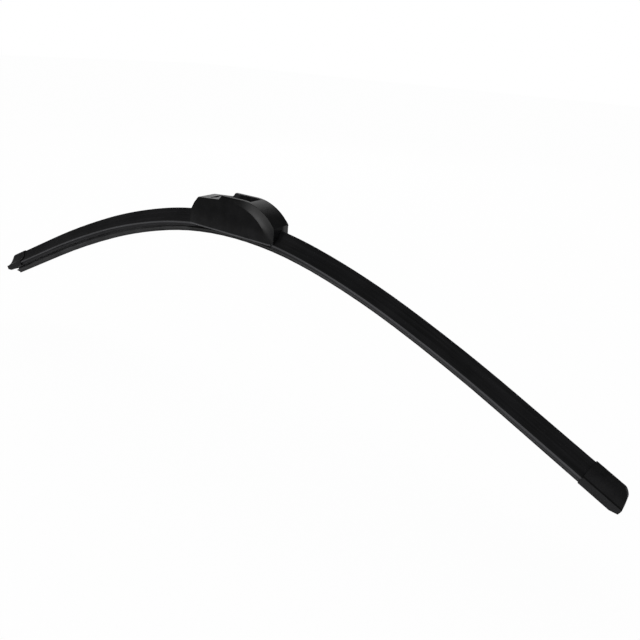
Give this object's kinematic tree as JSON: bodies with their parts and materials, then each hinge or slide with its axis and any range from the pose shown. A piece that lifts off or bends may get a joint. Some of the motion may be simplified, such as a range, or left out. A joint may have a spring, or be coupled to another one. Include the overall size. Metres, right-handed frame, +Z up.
{
  "type": "wiper blade",
  "caption": "Bowed black beam wiper blade with a finned spoiler, moulded end caps and a hooded connector whose adapter takes a hooked wiper arm and rocks on a cross pin.",
  "frame": {"origin": "middle of the cross pin on which the arm adapter rocks", "axes": "+X along the blade towards the hooded end of the connector, +Y across the blade, +Z up, away from the windscreen"},
  "size_m": [0.6147, 0.0198, 0.1354],
  "materials": {
    "wiping_rubber": "matte dark grey natural rubber with a dusty coating",
    "spring_steel": "cold-rolled spring strip, dull grey",
    "spoiler_rubber": "smooth satin black extrusion",
    "cap_plastic": "fine-grained satin black moulding",
    "plated_steel": "zinc-plated pressed steel",
    "pin_steel": "turned steel with riveted heads",
    "housing_plastic": "satin black moulding",
    "adapter_plastic": "satin black acetal moulding"
  },
  "bodies": {
    "adapter": {"arm_adapter": "adapter_plastic"},
    "blade": {"wiper_rubber": "wiping_rubber", "spring_rail_front": "spring_steel", "spring_rail_rear": "spring_steel", "spoiler_left": "spoiler_rubber", "spoiler_right": "spoiler_rubber", "end_cap_left": "cap_plastic", "end_cap_right": "cap_plastic", "connector_base": "plated_steel", "pivot_pin": "pin_steel", "connector_housing": "housing_plastic"}
  },
  "joints": [
    {"name": "blade_rock", "type": "hinge", "parent": "adapter", "child": "blade", "pos_m": [0, 0, 0], "axis": [0, 1, 0], "range_deg": [-10, 10]}
  ]
}
